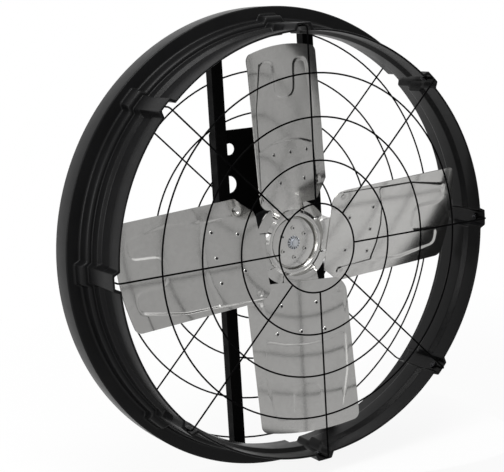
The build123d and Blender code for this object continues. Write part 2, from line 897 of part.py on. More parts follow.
def motor_shaft():
    body = rod(shaft_r, -hub_front_depth, -front_bearing_depth)
    body += rod(bearing_seat_r, -front_bearing_depth, -front_bearing_back_depth)
    body += rod(rotor_seat_r, -front_bearing_back_depth, rear_bearing_back)
    body += rod(bearing_seat_r, rear_bearing_back, rear_bearing_end)
    body -= Pos(0, key_front + key_length / 2, key_base + key_height / 2) * Box(
        key_width, key_length, key_height
    )
    bolt_end = end_bolt_seat + end_bolt_length
    return body - rod(end_bolt_r, -hub_front_depth - 1, bolt_end)


parts["motor_shaft"] = motor_shaft()

rotor_core = tube(rotor_r, rotor_seat_r, core_front, core_back)
bar = rod(rotor_bar_r, core_front - 1, core_back + 1, rotor_bar_circle_r)
parts["rotor_core"] = rotor_core - around(bar, rotor_bar_count)
cage_ring_r = rotor_bar_circle_r + rotor_bar_r + cage_ring_cover
cage_ends = tube(cage_ring_r, cage_ring_inner_r, core_front - cage_ring_width, core_front)
cage_ends += tube(cage_ring_r, cage_ring_inner_r, core_back, core_back + cage_ring_width)
parts["rotor_cage"] = cage_ends + around(bar, rotor_bar_count)


# Bearings


def bearing(name, outer_r, width, pitch_r, ball_r, start):
    """Writes the outer ring, the inner ring and the balls in their cage."""
    mid = start + width / 2
    end = start + width
    track = torus_about_axis(pitch_r, ball_r + ball_clearance, mid)
    parts[name + "_bearing_outer"] = tube(outer_r, pitch_r + ball_r * 0.75, start, end) - track
    parts[name + "_bearing_inner"] = tube(pitch_r - ball_r * 0.75, bearing_seat_r, start, end) - track
    cage = tube(pitch_r + 1, pitch_r - 1, mid - ball_r * 0.8, mid + ball_r * 0.8)
    ball = Pos(pitch_r, mid, 0) * Sphere(ball_r)
    parts[name + "_bearing_balls"] = cage + around(ball, ball_count)


bearing("front", front_bearing_r, front_bearing_width, front_pitch_r, front_ball_r, -front_bearing_depth)
bearing("rear", rear_bearing_r, rear_bearing_width, rear_pitch_r, rear_ball_r, rear_bearing_back)

circlip_thickness = 1.5
circlip_depth = front_bearing_back_depth - circlip_thickness
parts["bearing_circlip"] = tube(
    front_bearing_r + 1, front_bearing_r - 3, -front_bearing_back_depth, -circlip_depth
) - Pos(0, -front_bearing_back_depth, front_bearing_r) * Box(8, 4 * circlip_thickness, 10)
parts["bearing_wave_washer"] = tube(
    rear_bearing_r - 0.3, rear_bearing_r - 5, rear_bearing_end, rear_bearing_end + wave_washer_space
)
parts["shaft_seal"] = tube(seal_r, shaft_r + seal_clearance, -nose_depth, -front_bearing_depth)


# Motor casing


def front_shield():
    bore_end_depth = circlip_depth - 2
    body = lathe(
        [
            (seal_r, -nose_depth),
            (nose_front_r, -nose_depth),
            (nose_back_r, plate_front - spigot_stand),
            (spigot_r, plate_front - spigot_stand),
            (spigot_r, motor_front),
            (motor_flange_r, motor_front),
            (motor_flange_r, casing_front),
            (casing_bore_r, casing_front),
            (casing_bore_r, casing_front + register_length),
            (casing_bore_r - register_wall, casing_front + register_length),
            (casing_bore_r - register_wall, casing_front - 4),
            (front_bearing_r + 4, -bore_end_depth + 6),
            (front_bearing_r, -bore_end_depth),
            (front_bearing_r, -front_bearing_depth),
            (seal_r, -front_bearing_depth),
        ]
    )
    body -= tube(front_bearing_r + 1, front_bearing_r - 4, -front_bearing_back_depth, -circlip_depth)
    body -= around(
        rod(flange_bolt_r, motor_front - 1, casing_front + 1, flange_bolt_circle_r), 4, 45
    )
    for angle in tie_bolt_angles:
        body -= turned(rod(m6_r, motor_front + 2, casing_front + 1, tie_bolt_circle_r), angle)
    return body


parts["motor_front_shield"] = front_shield()


def near(angle, targets, clear):
    return any(abs((angle - t + 180) % 360 - 180) < clear for t in targets)


def seat_screw_places():
    return [(x, box_mid + y) for x in (-seat_screw_x, seat_screw_x) for y in (-seat_screw_y, seat_screw_y)]


def seat_screw_holes():
    """Blind holes from inside the terminal box's floor into the motor's flat seat."""
    floor = -(box_seat + box_wall)
    hole = Cylinder(m5_r, seat_screw_length, align=(Align.CENTER, Align.CENTER, Align.MIN))
    return [Pos(x, y, floor) * hole for x, y in seat_screw_places()]


def motor_housing():
    body = tube(casing_r, casing_bore_r, casing_front, casing_back)
    fin = Pos((casing_r + fin_r - 1) / 2, (casing_front + casing_back) / 2, 0) * Box(
        fin_height + 1, casing_length, fin_thickness
    )
    fins = []
    for k in range(fin_count):
        angle = 360.0 * (k + 0.5) / fin_count
        if near(angle, tie_bolt_angles, tie_bolt_angle_clear) or near(angle, (270,), 28):
            continue
        fins.append(turned(fin, angle))
    seat = Pos(0, box_mid, -(box_seat + casing_bore_r + 1) / 2) * Box(
        box_width, box_length, box_seat - casing_bore_r - 1
    )
    seat -= rod(casing_r - 1, box_start - 1, box_end + 1)
    body = body + fins + seat - seat_screw_holes()
    return body - Pos(0, box_mid, -(box_seat + casing_bore_r) / 2) * Cylinder(cable_hole_r, 40)


parts["motor_housing"] = motor_housing()


def rear_shield():
    cup_r = rear_bearing_r + rear_cup_wall
    body = lathe(
        [
            (0, motor_back),
            (cup_r, motor_back),
            (cup_r + 2, casing_back + rear_shield_rim + 5),
            (fin_r - 8, casing_back + rear_shield_rim),
            (fin_r, casing_back + rear_shield_rim),
            (fin_r, casing_back),
            (casing_bore_r, casing_back),
            (casing_bore_r, casing_back - register_length),
            (casing_bore_r - register_wall, casing_back - register_length),
            (casing_bore_r - register_wall, casing_back + 2),
            (cup_r - 1, casing_back + 5),
            (cup_r - 1, rear_bearing_back - 1),
            (rear_bearing_r, rear_bearing_back - 1),
            (rear_bearing_r, rear_bearing_end + wave_washer_space),
            (0, rear_bearing_end + wave_washer_space),
        ]
    )
    for angle in tie_bolt_angles:
        lug = rod(2.3 * m6_r, casing_back, casing_back + rear_shield_rim, tie_bolt_circle_r)
        body += turned(lug, angle)
    for angle in tie_bolt_angles:
        hole = rod(m6_r + hole_clearance / 2, casing_back - 1, casing_back + 3 * rear_shield_rim, tie_bolt_circle_r)
        body -= turned(hole, angle)
    return body


parts["motor_rear_shield"] = rear_shield()

tie_length = casing_length + rear_shield_rim + motor_flange_thickness - 3
tie_bolt = hex_bolt(m6_r - 0.1, tie_length, 2 * m6_r, 4)
tie_seat = (tie_bolt_circle_r, casing_back + rear_shield_rim, 0)
group("motor_tie_bolts", [turned(seated(tie_bolt, tie_seat, back), angle) for angle in tie_bolt_angles])


def stator_core():
    body = tube(casing_bore_r, stator_bore_r, core_front, core_back)
    slot = Pos((slot_top_r + slot_bottom_r) / 2, (core_front + core_back) / 2, 0) * Box(
        slot_bottom_r - slot_top_r, core_length + 2, slot_width
    )
    mouth = Pos((stator_bore_r + slot_top_r) / 2, (core_front + core_back) / 2, 0) * Box(
        slot_top_r - stator_bore_r + 2, core_length + 2, slot_mouth
    )
    return body - around(slot, slot_count) - around(mouth, slot_count)


parts["stator_core"] = stator_core()


def stator_windings():
    inner = slot_top_r + winding_gap
    outer = slot_bottom_r - winding_gap
    reach = end_turn_gap + end_turn_length
    body = tube(outer, inner, core_front - reach, core_front - end_turn_gap)
    body += tube(outer, inner, core_back + end_turn_gap, core_back + reach)
    side = Pos((inner + outer) / 2, (core_front + core_back) / 2, 0) * Box(
        outer - inner - 1, core_length + 2 * end_turn_gap + 2, slot_width - 2 * winding_gap
    )
    return body + around(side, slot_count)


parts["stator_windings"] = stator_windings()

flange_bolt_length = flange_washer_thickness + plate_thickness + motor_flange_thickness - 1
flange_bolt = hex_bolt(flange_bolt_r, flange_bolt_length, flange_bolt_head_r, flange_bolt_head_height)
flange_washer = washer(flange_washer_r, flange_bolt_r, flange_washer_thickness)
flange_bolt_point = (flange_bolt_circle_r, plate_front - flange_washer_thickness, 0)
flange_washer_point = (flange_bolt_circle_r, plate_front, 0)
group("motor_flange_bolts", around(seated(flange_bolt, flange_bolt_point, front), 4, 45))
group("motor_flange_washers", around(seated(flange_washer, flange_washer_point, front), 4, 45))


# Terminal box, drawn from its seat downwards

box_screw_x = box_width / 2 - box_corner_r
box_screw_y = box_length / 2 - box_corner_r
box_screw_places = [(x, box_mid + y) for x in (-box_screw_x, box_screw_x) for y in (-box_screw_y, box_screw_y)]


def box_slab(inset, top, bottom):
    outline = RectangleRounded(box_width - 2 * inset, box_length - 2 * inset, box_corner_r - inset)
    return Pos(0, box_mid, -bottom) * extrude(outline, amount=bottom - top)


def terminal_box():
    body = box_slab(0, box_seat, box_bottom) - box_slab(box_wall, box_seat + box_wall, box_bottom + 1)
    for x, y in box_screw_places:
        post_shape = Pos(x, y, -(box_seat + box_bottom) / 2) * Cylinder(box_corner_r - 1, box_height)
        body += post_shape
    for x, y in box_screw_places:
        body -= Pos(x, y, -box_bottom) * Cylinder(m5_r - 0.5, 24)
    body -= Pos(0, box_mid, -box_seat) * Cylinder(cable_hole_r, 4 * box_wall)
    body -= seat_screw_holes()
    return body - rod(gland_body_r - 3, box_end - 2 * box_wall, box_end + 1, 0, -gland_height)


gland_height = box_seat + box_height / 2
parts["terminal_box"] = terminal_box()
gasket = box_slab(0, box_bottom, box_bottom + gasket_thickness)
gasket -= box_slab(box_wall, box_bottom - 1, box_bottom + gasket_thickness + 1)
corner_pads = [
    Pos(x, y, -box_bottom - gasket_thickness / 2) * Cylinder(box_corner_r - 1, gasket_thickness)
    for x, y in box_screw_places
]
screw_hole = [Pos(x, y, -box_bottom) * Cylinder(m5_r - 0.5, 30) for x, y in box_screw_places]
parts["terminal_gasket"] = (gasket + corner_pads) - screw_hole
lid_top = box_bottom + gasket_thickness
parts["terminal_lid"] = box_slab(0, lid_top, lid_top + lid_thickness) - screw_hole
lid_screw = domed_screw(m5_r - 0.5, lid_thickness + gasket_thickness + 10, m5_r * 1.6, 2)
group(
    "terminal_lid_screws",
    [seated(lid_screw, (x, y, -lid_top - lid_thickness), (0, 0, -1)) for x, y in box_screw_places],
)
terminal_base = box_seat + box_wall
seat_screw = domed_screw(m5_r, seat_screw_length, m5_r * 1.6, 2)
group(
    "terminal_box_screws",
    [seated(seat_screw, (x, y, -terminal_base), (0, 0, -1)) for x, y in seat_screw_places()],
)
block = Pos(0, box_start + 24, -terminal_base - 7) * Box(44, 16, 14)
block -= [Pos(x, box_start + 24, -terminal_base - 14) * Cylinder(3, 10) for x in (-14, 0, 14)]
parts["terminal_block"] = block

gland = rod(gland_body_r - 3, box_end - box_wall - 6, box_end, 0, -gland_height)
gland += seated(extrude(RegularPolygon(gland_body_r, 6), amount=gland_length / 2), (0, box_end, -gland_height), back)
gland += rod(gland_body_r - 1.5, box_end + gland_length / 2, box_end + gland_length, 0, -gland_height)
gland -= rod(gland_bore_r, box_end - 20, box_end + gland_length + 1, 0, -gland_height)
parts["cable_gland"] = gland
gland_nut = hex_nut(gland_body_r, gland_body_r - 3, gland_nut_height)
parts["gland_nut"] = seated(gland_nut, (0, box_end - box_wall, -gland_height), front)


os.makedirs("parts", exist_ok=True)
for name, shape in parts.items():
    export_step(shape, f"parts/{name}.step")
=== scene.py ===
import bpy
import json
from math import atan2, ceil, cos, hypot, pi, radians, sin, sqrt, tan
from mathutils import Matrix, Vector


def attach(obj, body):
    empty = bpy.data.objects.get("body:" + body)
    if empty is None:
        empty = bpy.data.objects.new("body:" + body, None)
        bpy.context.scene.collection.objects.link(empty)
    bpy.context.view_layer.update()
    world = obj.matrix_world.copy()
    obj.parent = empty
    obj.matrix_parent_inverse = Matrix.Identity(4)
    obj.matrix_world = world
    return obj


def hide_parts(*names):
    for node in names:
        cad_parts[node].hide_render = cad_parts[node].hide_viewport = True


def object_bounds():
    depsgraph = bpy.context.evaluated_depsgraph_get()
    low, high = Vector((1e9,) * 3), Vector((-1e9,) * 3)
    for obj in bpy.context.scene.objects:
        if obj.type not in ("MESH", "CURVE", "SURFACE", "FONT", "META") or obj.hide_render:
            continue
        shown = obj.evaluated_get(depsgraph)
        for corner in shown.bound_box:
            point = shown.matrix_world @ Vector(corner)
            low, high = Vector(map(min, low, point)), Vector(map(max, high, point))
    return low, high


# An axial wall fan, in metres in Blender and in millimetres in the tables below.
# The axis is Y, the front faces -Y and +Z is up.

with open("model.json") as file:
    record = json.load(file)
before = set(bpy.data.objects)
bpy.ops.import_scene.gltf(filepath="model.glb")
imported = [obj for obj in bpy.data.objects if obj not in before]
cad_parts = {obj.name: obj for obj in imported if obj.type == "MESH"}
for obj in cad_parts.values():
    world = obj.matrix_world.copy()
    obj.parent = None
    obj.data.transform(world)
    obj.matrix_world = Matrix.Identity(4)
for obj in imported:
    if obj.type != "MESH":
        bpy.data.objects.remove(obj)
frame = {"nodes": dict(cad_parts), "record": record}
cad_low, cad_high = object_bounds()
nodes = frame["nodes"]
MM = 0.001


# Camera

azimuth = radians(-30.78)
elevation = radians(10.56)
roll = radians(-3.35)
distance = 3088.6 * MM
focal_px = 1313.4
image_width = 504
sensor_mm = 36.0
aim_right = -98.28 * MM
aim_up = 15.56 * MM
pivot_y = -120 * MM

away = Vector((sin(azimuth) * cos(elevation), -cos(azimuth) * cos(elevation), sin(elevation)))
level = Vector((cos(azimuth), sin(azimuth), 0))
upward = away.cross(level)
cam_right = level * cos(roll) + upward * sin(roll)
cam_up = upward * cos(roll) - level * sin(roll)
aim = Vector((0, pivot_y, 0)) + cam_right * aim_right + cam_up * aim_up
camera_data = bpy.data.cameras.new("camera")
camera = bpy.data.objects.new("camera", camera_data)
bpy.context.scene.collection.objects.link(camera)
turn = Matrix((cam_right, cam_up, away)).transposed()
camera.matrix_world = Matrix.Translation(aim + away * distance) @ turn.to_4x4()
camera_data.sensor_fit = "HORIZONTAL"
camera_data.sensor_width = sensor_mm
camera_data.lens = focal_px / image_width * sensor_mm
camera_data.clip_start = 0.05
camera_data.clip_end = 50
bpy.context.scene.camera = camera


# Materials

white = (1, 1, 1, 1)
noise_roughness = 0.55

# Noise values lie mostly between these two.
noise_low = 0.3
noise_high = 0.7

# Strength and depth of a bump
coat_bump = (0.2, 0.0003)
metal_bump = (0.15, 0.0002)
sheet_bump = (0.1, 0.004)

sheet_dark = (0.585, 0.58, 0.565)
sheet_light = (0.63, 0.625, 0.61)
crystal_dark = 0.965
crystal_light = 1.02


class Shader:
    """Builds one node material. Colours are linear."""

    def __init__(self, name, **sockets):
        self.mat = bpy.data.materials.new(name)
        self.mat.use_nodes = True
        self.tree = self.mat.node_tree
        self.bsdf = self.tree.nodes["Principled BSDF"]
        for key, value in sockets.items():
            self.bsdf.inputs[key.replace("_", " ")].default_value = value
        self.place = self.add("ShaderNodeTexCoord").outputs["Object"]

    def add(self, kind, **settings):
        node = self.tree.nodes.new(kind)
        for key, value in settings.items():
            setattr(node, key, value)
        return node

    def link(self, out, into):
        self.tree.links.new(out, into)

    def noise(self, scale, detail, stretch=None):
        node = self.add("ShaderNodeTexNoise")
        node.inputs["Scale"].default_value = scale
        node.inputs["Detail"].default_value = detail
        node.inputs["Roughness"].default_value = noise_roughness
        place = self.place
        if stretch:
            mapping = self.add("ShaderNodeMapping")
            mapping.inputs["Scale"].default_value = stretch
            self.link(place, mapping.inputs["Vector"])
            place = mapping.outputs["Vector"]
        self.link(place, node.inputs["Vector"])
        return node.outputs["Fac"]

    def voronoi(self, scale):
        node = self.add("ShaderNodeTexVoronoi")
        node.inputs["Scale"].default_value = scale
        self.link(self.place, node.inputs["Vector"])
        return node.outputs["Color"]

    def ramp(self, value, stops):
        node = self.add("ShaderNodeValToRGB")
        for element, (place, colour) in zip(node.color_ramp.elements, stops):
            element.position = place
            element.color = (*colour, 1) if isinstance(colour, tuple) else (colour, colour, colour, 1)
        self.link(value, node.inputs["Fac"])
        return node.outputs["Color"]

    def spread(self, value, low, high, bottom=noise_low, top=noise_high):
        node = self.add("ShaderNodeMapRange")
        node.inputs["From Min"].default_value = bottom
        node.inputs["From Max"].default_value = top
        node.inputs["To Min"].default_value = low
        node.inputs["To Max"].default_value = high
        self.link(value, node.inputs["Value"])
        return node.outputs["Result"]

    def multiply(self, first, second):
        node = self.add("ShaderNodeMix", data_type="RGBA", blend_type="MULTIPLY")
        factor, into_a, into_b = [socket for socket in node.inputs if socket.enabled]
        factor.default_value = 1.0
        self.link(first, into_a)
        self.link(second, into_b)
        return [out for out in node.outputs if out.enabled][0]

    def colour(self, out):
        self.link(out, self.bsdf.inputs["Base Color"])

    def rough(self, out):
        self.link(out, self.bsdf.inputs["Roughness"])

    def bump(self, height, strength, depth):
        node = self.add("ShaderNodeBump")
        node.inputs["Strength"].default_value = strength
        node.inputs["Distance"].default_value = depth
        self.link(height, node.inputs["Height"])
        self.link(node.outputs["Normal"], self.bsdf.inputs["Normal"])

    def surface(self, out):
        self.link(out, self.tree.nodes["Material Output"].inputs["Surface"])


def clouded(dark, light):
    """Stops for a ramp over noise."""
    return [(noise_low, dark), (noise_high, light)]


def coated(name, dark, light, low, high, shine, clouds, patches, grain):
    """Tone in clouds, roughness from low to high in patches, and a fine grain.

    Each of the last three is a noise's scale and detail.
    """
    s = Shader(name, Specular_IOR_Level=shine)
    s.colour(s.ramp(s.noise(*clouds), clouded(dark, light)))
    s.rough(s.spread(s.noise(*patches), low, high))
    s.bump(s.noise(*grain), *coat_bump)
    return s.mat


def moulded(name, dark, light, low, high, shine=0.5):
    return coated(name, dark, light, low, high, shine, clouds=(9, 4), patches=(35, 4), grain=(900, 2))


def painted(name, dark, light, low, high, shine=0.5):
    return coated(name, dark, light, low, high, shine, clouds=(14, 4), patches=(60, 3), grain=(700, 2))


def metal(name, dark, light, low, high, grain=(1, 1, 1), scale=120.0, metallic=1.0):
    s = Shader(name, Metallic=metallic)
    s.colour(s.ramp(s.noise(scale, 4, stretch=grain), clouded(dark, light)))
    s.rough(s.spread(s.noise(scale / 2, 3, stretch=grain), low, high))
    s.bump(s.noise(scale * 4, 2, stretch=grain), *metal_bump)
    return s.mat


def sheet_steel():
    """Zinc-coated sheet: faint crystals, a soft sheen and cloudy patches."""
    s = Shader("sheet_steel", Metallic=1.0)
    clouds = s.ramp(s.noise(6, 4), clouded(sheet_dark, sheet_light))
    crystals = s.ramp(s.voronoi(110), [(0.0, crystal_dark), (1.0, crystal_light)])
    s.colour(s.multiply(clouds, crystals))
    s.rough(s.spread(s.noise(18, 3), 0.16, 0.2))
    s.bump(s.noise(9, 2), *sheet_bump)
    return s.mat


plastic = moulded("black_plastic", (0.0028, 0.0028, 0.003), (0.0042, 0.0042, 0.0044), 0.3, 0.37, 0.11)
box_plastic = moulded("box_plastic", (0.012, 0.012, 0.013), (0.018, 0.018, 0.02), 0.3, 0.42)
paint = painted("black_paint", (0.0012, 0.0012, 0.0013), (0.002, 0.002, 0.0021), 0.5, 0.62, 0.05)
wire_coat = painted("wire_coat", (0.001, 0.001, 0.0011), (0.0018, 0.0018, 0.0019), 0.7, 0.8, 0.02)
black_zinc = metal("black_zinc", (0.02, 0.02, 0.022), (0.035, 0.035, 0.037), 0.35, 0.5)
steel = sheet_steel()
zinc = metal("bright_zinc", (0.55, 0.57, 0.6), (0.68, 0.7, 0.74), 0.26, 0.4)
turned_steel = metal("turned_steel", (0.42, 0.42, 0.43), (0.55, 0.55, 0.56), 0.22, 0.34, (1, 40, 1), 60)
ground_steel = metal("ground_steel", (0.6, 0.6, 0.6), (0.7, 0.7, 0.7), 0.12, 0.2)
laminated = metal("laminated_steel", (0.2, 0.2, 0.21), (0.3, 0.3, 0.31), 0.4, 0.55, (1, 90, 1), 40)
iron = metal("zinc_iron", (0.2, 0.2, 0.2), (0.3, 0.3, 0.3), 0.45, 0.6, scale=60, metallic=0.8)
cast_alloy = metal("cast_alloy", (0.5, 0.5, 0.51), (0.6, 0.6, 0.6), 0.4, 0.55, scale=70)
motor_paint = painted("motor_paint", (0.02, 0.021, 0.023), (0.03, 0.031, 0.033), 0.4, 0.55)
copper = metal("copper_wire", (0.42, 0.16, 0.06), (0.55, 0.22, 0.09), 0.3, 0.45, (60, 60, 1), 30)
rubber = moulded("black_rubber", (0.008, 0.008, 0.008), (0.012, 0.012, 0.012), 0.65, 0.8)

by_slot = {
    "black_plastic": plastic,
    "black_plastic_gloss": box_plastic,
    "black_paint": paint,
    "black_wire": wire_coat,
    "black_zinc": black_zinc,
    "blade_steel": steel,
    "zinc_steel": zinc,
    "shaft_steel": turned_steel,
    "bearing_steel": ground_steel,
    "core_steel": laminated,
    "cast_iron": iron,
    "motor_aluminium": motor_paint,
    "cast_aluminium": cast_alloy,
    "copper": copper,
    "black_rubber": rubber,
}
for part in frame["record"]["subparts"]:
    node = nodes[part["node"]]
    node.data.materials.clear()
    node.data.materials.append(by_slot[part["material_slot"]])


# Mesh helpers


def clamp(value, low=0.0, high=1.0):
    return max(low, min(high, value))


def smooth(low, high, value):
    t = clamp((value - low) / (high - low))
    return t * t * (3 - 2 * t)


def lerp(first, second, t):
    return first + (second - first) * t


def piece(name, points, faces, material, body, sharp, matrix=None):
    """Makes a mesh piece from points in millimetres. Edges over the sharp angle stay hard."""
    mesh = bpy.data.meshes.new(name)
    mesh.from_pydata([(x * MM, y * MM, z * MM) for x, y, z in points], [], faces)
    mesh.validate()
    mesh.materials.append(material)
    mesh.shade_smooth()
    mesh.set_sharp_from_angle(angle=radians(sharp))
    obj = bpy.data.objects.new(name, mesh)
    bpy.context.scene.collection.objects.link(obj)
    if matrix:
        obj.matrix_world = matrix
    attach(obj, body)
    return obj


def grid_faces(rows, columns, close_rows=False, close_columns=False, start=0):
    """Quads over a grid of rows x columns points, numbered row by row."""
    faces = []
    for i in range(rows if close_rows else rows - 1):
        for j in range(columns if close_columns else columns - 1):
            after_i = (i + 1) % rows
            after_j = (j + 1) % columns
            faces.append(
                (
                    start + i * columns + j,
                    start + i * columns + after_j,
                    start + after_i * columns + after_j,
                    start + after_i * columns + j,
                )
            )
    return faces


def thick_sheet(name, front, back, quads, material, body, sharp, matrix=None):
    """A sheet between two like grids of points, closed along every free edge."""
    count = len(front)
    faces = list(quads) + [tuple(count + k for k in reversed(quad)) for quad in quads]
    free = {}
    for quad in quads:
        for k, here in enumerate(quad):
            after = quad[(k + 1) % len(quad)]
            if (after, here) in free:
                del free[(after, here)]
            else:
                free[(here, after)] = True
    faces += [(after, here, here + count, after + count) for here, after in free]
    return piece(name, front + back, faces, material, body, sharp, matrix)


def add_lathe(points, faces, profile, segments, centre, out_axis, up_axis, side_axis):
    """Turns a profile of (radius, height) round an axis, and adds it to a mesh's lists."""
    faces += grid_faces(segments, len(profile), close_rows=True, start=len(points))
    for k in range(segments):
        turn_by = 2 * pi * k / segments
        for r, h in profile:
            spot = centre + out_axis * h + (up_axis * cos(turn_by) + side_axis * sin(turn_by)) * r
            points.append(tuple(spot))


least_half_turn = 0.02
least_setback = 0.1
most_setback_share = 0.64


def rounded_corner(before, corner, after, radius, steps):
    """Points of a curve that rounds a corner, at least a little apart."""
    ax, ay = before[0] - corner[0], before[1] - corner[1]
    bx, by = after[0] - corner[0], after[1] - corner[1]
    length_a, length_b = hypot(ax, ay), hypot(bx, by)
    ax, ay, bx, by = ax / length_a, ay / length_a, bx / length_b, by / length_b
    half_turn = 0.5 * abs(atan2(ax * by - ay * bx, ax * bx + ay * by))
    most_setback = most_setback_share * min(length_a, length_b)
    setback = clamp(radius / tan(max(half_turn, least_half_turn)), least_setback, most_setback)
    start = (corner[0] + ax * setback, corner[1] + ay * setback)
    end = (corner[0] + bx * setback, corner[1] + by * setback)
    points = []
    for k in range(steps + 1):
        t = k / steps
        x = (1 - t) ** 2 * start[0] + 2 * t * (1 - t) * corner[0] + t * t * end[0]
        y = (1 - t) ** 2 * start[1] + 2 * t * (1 - t) * corner[1] + t * t * end[1]
        points.append((x, y))
    return points


def rounded_loop(corners, steps):
    """Rounds a closed loop of (x, y, radius) corners."""
    points = []
    for k, (x, y, radius) in enumerate(corners):
        before = corners[k - 1]
        after = corners[(k + 1) % len(corners)]
        points += rounded_corner(before[:2], (x, y), after[:2], radius, steps)
    return points


# Housing ring: each corner of its section, between pads and at a pad, and its rounding.
# The last value says which transition it follows round the pad.

OUTER, INNER, BEAD, COLLAR_OUTER, COLLAR_INNER, FIXED = range(6)
ring_corners = (
    ((550, 0), (550, 0), 1.0, FIXED),
    ((550, -56), (550, -56), 3.5, FIXED),
    ((518, -56), (531, -56), 6.0, COLLAR_OUTER),
    ((514, -86), (527, -86), 10.0, COLLAR_OUTER),
    ((502, -86), (512, -86), 3.0, OUTER),
    ((502, -112), (512, -112), 3.0, OUTER),
    ((493, -118), (512, -118), 3.0, OUTER),
    ((493, -157), (512, -157), 3.0, OUTER),
    ((498, -163), (512, -163), 3.0, OUTER),
    ((498, -209), (512, -209), 2.2, OUTER),
    ((493, -209), (507, -209), 2.2, INNER),
    ((493, -168), (507, -168), 4.0, INNER),
    ((486, -155), (507, -155), 9.0, BEAD),
    ((486, -114), (507, -114), 9.0, BEAD),
    ((497, -102), (507, -102), 4.0, INNER),
    ((497, -64), (507, -64), 2.2, INNER),
    ((502, -64), (512, -64), 2.2, OUTER),
    ((502, -81), (512, -81), 2.0, OUTER),
    ((509, -81), (522, -81), 5.0, COLLAR_INNER),
    ((511, -51), (524, -51), 2.0, COLLAR_INNER),
    ((545, -51), (545, -51), 3.0, FIXED),
    ((545, 0), (545, 0), 1.0, FIXED),
)

# How far from a pad's middle each transition starts and ends
pad_flanks = {
    OUTER: (17.0, 27.0),
    INNER: (12.0, 22.0),
    BEAD: (14.0, 27.0),
    COLLAR_OUTER: (19.0, 30.0),
    COLLAR_INNER: (14.0, 25.0),
}
ring_sectors = 8
pad_zone = 46.0
pad_step = 1.1
plain_step = 7.0
ring_mean_r = 505.0


def pad_share(kind, across):
    """How far the section has gone from the plain form to the pad's."""
    if kind == FIXED:
        return 0.0
    low, high = pad_flanks[kind]
    return 1 - smooth(low, high, abs(across))


def ring_angles():
    """(angle, way from the pad's middle along the ring), finer near the pads."""
    half_sector = pi / ring_sectors * ring_mean_r
    fine = int(pad_zone / pad_step)
    coarse = ceil((half_sector - pad_zone) / plain_step)
    side = [pad_step * k for k in range(fine)]
    side += [lerp(pad_zone, half_sector, k / coarse) for k in range(coarse)]
    whole = [-half_sector] + [-a for a in reversed(side[1:])] + side
    angles = []
    for sector in range(ring_sectors):
        angles += [(2 * pi * sector / ring_sectors + a / ring_mean_r, a) for a in whole]
    return angles


section_steps = 4
ring_columns = ring_angles()
ring_points = []
for angle, across in ring_columns:
    corners = []
    for plain, at_pad, radius, kind in ring_corners:
        share = pad_share(kind, across)
        corners.append((lerp(plain[0], at_pad[0], share), lerp(plain[1], at_pad[1], share), radius))
    for r, y in rounded_loop(corners, section_steps):
        ring_points.append((r * cos(angle), y, r * sin(angle)))
section_count = len(ring_corners) * (section_steps + 1)
ring_faces = grid_faces(len(ring_columns), section_count, close_rows=True, close_columns=True)
ring = piece("ring_moulding", ring_points, ring_faces, plastic, "frame", 50)
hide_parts("housing_ring")


# Blades: u runs along the chord to the front edge and v outwards, from the fan's axis

blade_count = 4
blade_turn = 360 / blade_count
blade_pitch = radians(17.1)
blade_depth = 132.0
blade_offset = 15.0
tip_r = 464.0
front_edge = (122.0, 440.0)
rear_edge = (-122.0, 455.0)
edge_lean = 0.058
tip_corner = 14.0
sheet_half = 1.0

# The root is straight between a bend at the rear and an arc at the front.
root_v = 92.0
root_bend_u = (-92.0, -104.0)
root_bend_v = 95.0
root_corner_v = 138.0
root_corner_span = 38.6
root_corner_power = 0.9
root_arc_u = 72.0
root_arc_span = 29.4
root_arc_rise = 36.0
root_ends = (-142.6, 101.4)

# The pressed panel: how far from its outline the flank starts and ends, and its corners as u, v
# and rounding
panel_depth = 2.35
panel_flank = (-1.5, 6.5)
panel_mid = -4.0
panel_steps = 6
panel_corners = (
    (101, 222, 12),
    (103, 320, 60),
    (83, 430, 22),
    (34, 430, 22),
    (31, 347, 24),
    (-31, 347, 24),
    (-34, 430, 22),
    (-83, 430, 22),
    (-103, 320, 60),
    (-97, 226, 12),
    (-50, 239.5, 80),
    (0, 244, 80),
    (50, 239.5, 80),
)


def blade_matrix(angle):
    u_axis = Vector((0, -sin(blade_pitch), cos(blade_pitch)))
    v_axis = Vector((1, 0, 0))
    back_axis = Vector((0, cos(blade_pitch), sin(blade_pitch)))
    seat = Matrix((u_axis, v_axis, back_axis)).transposed().to_4x4()
    seat.translation = Vector((0, -blade_depth, blade_offset)) * MM
    return Matrix.Rotation(-radians(angle), 4, "Y") @ seat


def distances_inside(points, loop):
    """Distance from each point to a closed loop, negative outside it."""
    found = []
    edges = [(loop[k - 1], loop[k]) for k in range(len(loop))]
    for px, py in points:
        gaps = []
        inside = False
        for (ax, ay), (bx, by) in edges:
            ex, ey = bx - ax, by - ay
            t = clamp(((px - ax) * ex + (py - ay) * ey) / (ex * ex + ey * ey))
            gaps.append((px - ax - t * ex) ** 2 + (py - ay - t * ey) ** 2)
            if (ay > py) != (by > py) and px < ax + (py - ay) * ex / ey:
                inside = not inside
        nearest = sqrt(min(gaps))
        found.append(nearest if inside else -nearest)
    return found


def tip_v(u, share):
    """Where the tip's circle and its rounded corners end the blade."""
    round_arc = sqrt(tip_r**2 - (blade_offset + u * cos(blade_pitch)) ** 2)
    chord = front_edge[0] - rear_edge[0]
    into = tip_corner - min(share, 1 - share) * chord
    if into <= 0:
        return round_arc
    return round_arc - tip_corner + sqrt(max(tip_corner**2 - into**2, 0))


